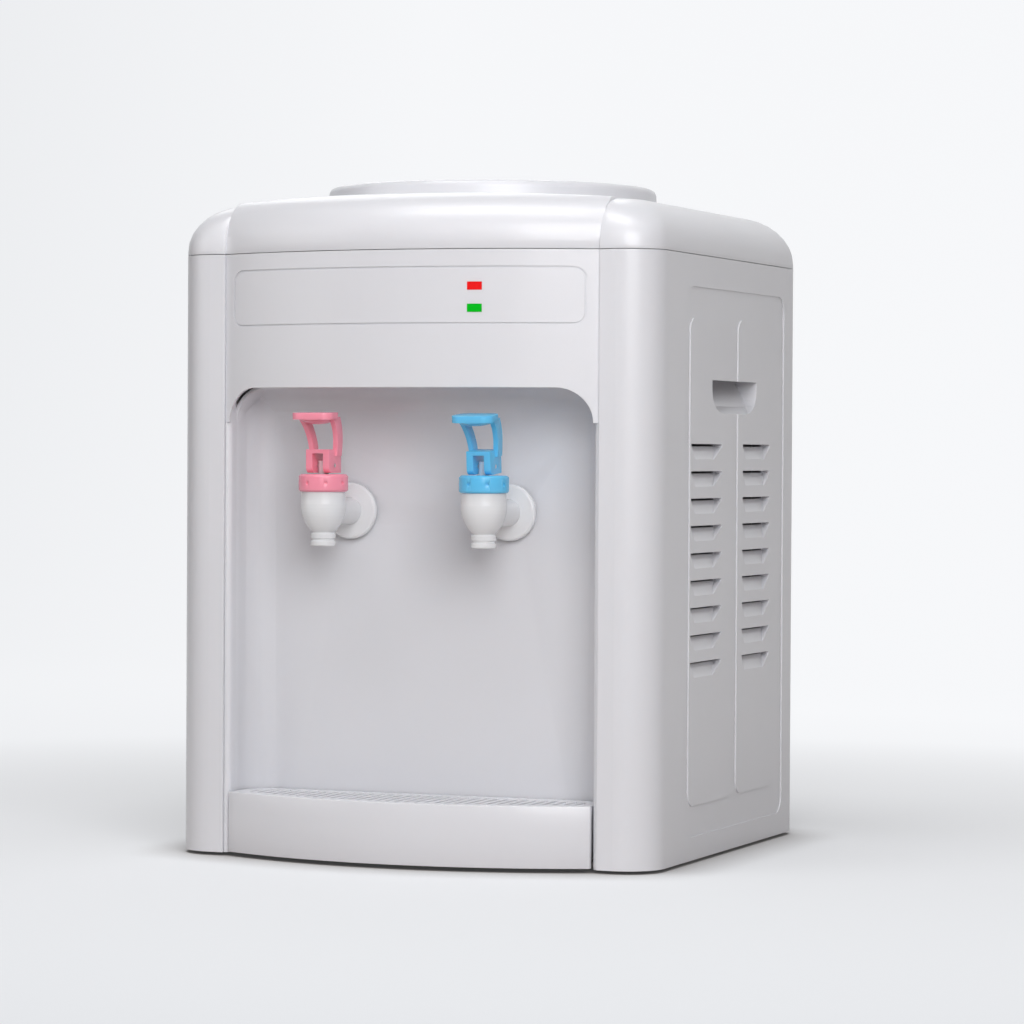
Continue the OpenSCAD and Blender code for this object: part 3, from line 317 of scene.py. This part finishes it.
def stage_material(name, colour, bounce_and_contact_shade, glow, edge_glow, centre, reach):
    """Matt paper, pale where it is looked at and darker for the light it reflects onto the object.

    It glows a little near the object, so that shadows show, and more far away. Its glow is brightest
    behind the object and fades towards the edges, a painted pool of light. Near the object's base, ambient
    occlusion paints a contact shadow: a darker colour and a weaker glow.
    """
    t = Tree(name)
    path = t.add("ShaderNodeLightPath")
    looked_at = path.outputs["Is Camera Ray"]
    for kind in ("Is Glossy Ray", "Is Transmission Ray"):
        either = t.add("ShaderNodeMath", operation="MAXIMUM")
        t.link(looked_at, either.inputs[0])
        t.link(path.outputs[kind], either.inputs[1])
        looked_at = either.outputs[0]
    # Painted contact shadow: ambient occlusion near the object's base turns the looked-at colour towards
    # the darker second colour.
    contact = t.add("ShaderNodeAmbientOcclusion")
    contact.inputs["Distance"].default_value = 0.045
    open_share = t.ramp(contact.outputs["AO"], 0.3, 0.95, 0, 1)
    shaded = t.add("ShaderNodeMath", operation="MULTIPLY")
    t.link(open_share, shaded.inputs[0])
    t.link(looked_at, shaded.inputs[1])
    t.link(t.blend(shaded.outputs[0], bounce_and_contact_shade, colour), t.shader.inputs["Base Color"])
    t.link(t.ramp(t.noise(1.5, 2), 0.3, 0.7, 0.85, 0.95), t.shader.inputs["Roughness"])
    coordinates = t.add("ShaderNodeTexCoord")

    def distance_from(point):
        distance = t.add("ShaderNodeVectorMath", operation="DISTANCE")
        distance.inputs[1].default_value = point
        t.link(coordinates.outputs["Object"], distance.inputs[0])
        return distance.outputs["Value"]

    # Painted pool of light: the glow colour is brightest behind the object and fades towards the edges of
    # floor and backdrop.
    lamp = t.add("ShaderNodeEmission")
    t.link(
        t.blend(t.ramp(distance_from(centre), reach[0], reach[1], 0, 1), glow, edge_glow),
        lamp.inputs["Color"],
    )
    # Painted contact shadow: the glow is dimmed where ambient occlusion finds the object close.
    t.link(t.ramp(open_share, 0, 1, 0.1, 1), lamp.inputs["Strength"])
    amount = t.add("ShaderNodeMath", operation="MULTIPLY")
    t.link(looked_at, amount.inputs[0])
    t.link(t.ramp(distance_from((0, 0, 0)), 0.25, 0.9, 0.4, 0.93), amount.inputs[1])
    mix = t.add("ShaderNodeMixShader")
    t.link(amount.outputs[0], mix.inputs["Fac"])
    t.link(t.shader.outputs[0], mix.inputs[1])
    t.link(lamp.outputs[0], mix.inputs[2])
    t.link(mix.outputs[0], t.out.inputs["Surface"])
    return t.material


def make_floor():
    """Floor that curves up into a pale backdrop."""
    b = bmesh.new()
    half_width = 6
    front_y = -4.0
    bend_y = 1.6
    bend_r = 0.9
    wall_top = 5.0
    profile = [(front_y, 0.0), (bend_y, 0.0)]
    profile += [
        (bend_y + bend_r * math.sin(a), bend_r - bend_r * math.cos(a))
        for a in (math.radians(d) for d in range(6, 91, 6))
    ]
    profile += [(bend_y + bend_r, wall_top)]
    rows = [[b.verts.new((x, y, z)) for y, z in profile] for x in (-half_width, half_width)]
    for i in range(len(profile) - 1):
        b.faces.new((rows[0][i], rows[1][i], rows[1][i + 1], rows[0][i + 1]))
    mesh = bpy.data.meshes.new("floor")
    b.to_mesh(mesh)
    b.free()
    for polygon in mesh.polygons:
        polygon.use_smooth = True
    floor = bpy.data.objects.new("floor", mesh)
    paper = stage_material(
        "floor_paper",
        colour=(0.92, 0.93, 0.95),
        # This darker colour is also painted near the object's base as a contact shadow.
        bounce_and_contact_shade=(0.5, 0.46, 0.44),
        glow=(0.97, 0.98, 1.0),
        # Painted falloff of the pool of light towards the backdrop's edges.
        edge_glow=(0.55, 0.57, 0.6),
        centre=(0.0, 2.0, 0.9),
        reach=(1.2, 4.4),
    )
    mesh.materials.append(paper)
    bpy.context.scene.collection.objects.link(floor)


def area_light(name, place, size, power, colour=(1, 1, 1)):
    """Rectangular lamp that points at the object."""
    light = bpy.data.lights.new(name, "AREA")
    light.shape = "RECTANGLE"
    light.size, light.size_y = size
    light.energy = power
    light.color = colour
    holder = bpy.data.objects.new(name, light)
    holder.location = place
    holder.rotation_euler = (Vector(TARGET) - Vector(place)).to_track_quat("-Z", "Y").to_euler()
    bpy.context.scene.collection.objects.link(holder)


def make_world(strength):
    world = bpy.data.worlds.new("studio")
    world.use_nodes = True
    background = world.node_tree.nodes["Background"]
    background.inputs["Color"].default_value = (1.0, 0.96, 0.94, 1)
    background.inputs["Strength"].default_value = strength
    bpy.context.scene.world = world


def make_camera():
    """Long lens from the front right, just above the level of the cold tap."""
    camera = bpy.data.cameras.new("camera")
    camera.sensor_width = 36
    camera.lens = 134.6
    camera.clip_end = 50
    place = Vector((0.8637, -2.1506, 0.2397))
    aim = Vector((0.0113, 0.0087, 0.2013))
    roll = Matrix.Rotation(math.radians(0.31), 3, "Z")
    holder = bpy.data.objects.new("camera", camera)
    holder.location = place
    holder.rotation_euler = ((aim - place).to_track_quat("-Z", "Y").to_matrix() @ roll).to_euler()
    bpy.context.scene.collection.objects.link(holder)
    bpy.context.scene.camera = holder


make_camera()
make_floor()
make_world(0.05)
area_light("key", (0.95, -1.6, 1.0), (1.2, 1.2), 25, (0.98, 0.985, 1.0))
area_light("top", (0, -0.6, 2.0), (1.4, 0.9), 16.5)
area_light("front", (0.1, -1.9, 1.1), (1.2, 0.8), 3)
area_light("left_fill", (-1.7, -1.3, 0.9), (1.2, 1.2), 5.5)
area_light("rear", (-0.8, 1.4, 1.6), (1.0, 1.0), 4)
area_light("right_strip", (1.9, -0.7, 0.8), (0.8, 1.2), 0.3, (1.0, 0.97, 0.93))

for name, width in (("top_cover", 0.5), ("bay_liner", 0.6), ("drip_tray", 0.7)):
    softened(name, width * MM)
for side in ("hot", "cold"):
    softened(f"{side}_lever", 0.9 * MM, 3)
    softened(f"{side}_tap_nut", 0.3 * MM)

bpy.context.scene.view_settings.view_transform = "Standard"
